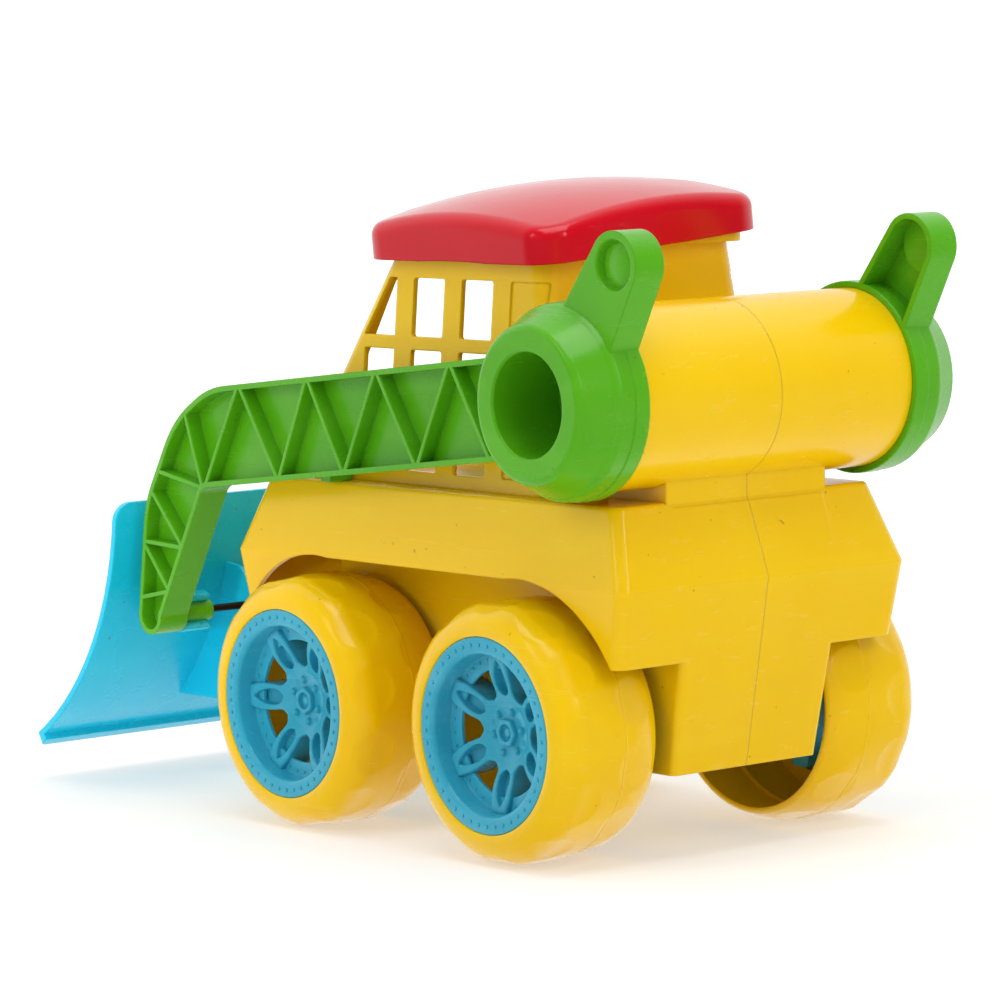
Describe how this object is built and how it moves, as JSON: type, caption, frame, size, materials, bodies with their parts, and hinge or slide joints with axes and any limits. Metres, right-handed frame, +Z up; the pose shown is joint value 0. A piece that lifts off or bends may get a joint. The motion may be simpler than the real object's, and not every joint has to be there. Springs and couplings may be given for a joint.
{
  "type": "toy front loader",
  "caption": "Toy front loader with a four-wheeled body, windowed cab, drum-mounted lifting arms and a tipping curved bucket.",
  "frame": {"origin": "centre of the overall length and width, on the ground under the wheels", "axes": "+X forward towards the bucket, +Y to the loader's left, +Z up"},
  "size_m": [0.382, 0.1884, 0.2519],
  "materials": {
    "yellow_plastic": "semi-gloss moulded",
    "blue_plastic": "semi-gloss moulded",
    "green_plastic": "semi-gloss moulded",
    "red_plastic": "glossy moulded",
    "steel": "plain drawn steel"
  },
  "bodies": {
    "chassis": {"body_left": "yellow_plastic", "body_right": "yellow_plastic", "body_screws": "steel", "cab_frame": "yellow_plastic", "cab_roof": "red_plastic", "pivot_screw_left": "steel", "pivot_screw_right": "steel"},
    "arms": {"arm_left": "green_plastic", "arm_right": "green_plastic", "bucket_rod": "steel"},
    "bucket": {"bucket": "blue_plastic"},
    "front_wheelset": {"axle_front": "steel", "tyre_front_left": "yellow_plastic", "tyre_front_right": "yellow_plastic", "rim_front_left": "blue_plastic", "rim_front_right": "blue_plastic"},
    "rear_wheelset": {"axle_rear": "steel", "tyre_rear_left": "yellow_plastic", "tyre_rear_right": "yellow_plastic", "rim_rear_left": "blue_plastic", "rim_rear_right": "blue_plastic"}
  },
  "joints": [
    {"name": "arm_lift", "type": "hinge", "parent": "chassis", "child": "arms", "pos_m": [-0.1453, 0, 0.1745], "axis": [0, -1, 0], "range_deg": [0, 65]},
    {"name": "bucket_tip", "type": "hinge", "parent": "arms", "child": "bucket", "pos_m": [0.1167, 0, 0.0749], "axis": [0, 1, 0], "range_deg": [-6, 60]},
    {"name": "front_wheels_spin", "type": "hinge", "parent": "chassis", "child": "front_wheelset", "pos_m": [0.0149, 0, 0.0495], "axis": [0, 1, 0], "continuous": true},
    {"name": "rear_wheels_spin", "type": "hinge", "parent": "chassis", "child": "rear_wheelset", "pos_m": [-0.1101, 0, 0.0495], "axis": [0, 1, 0], "continuous": true}
  ]
}
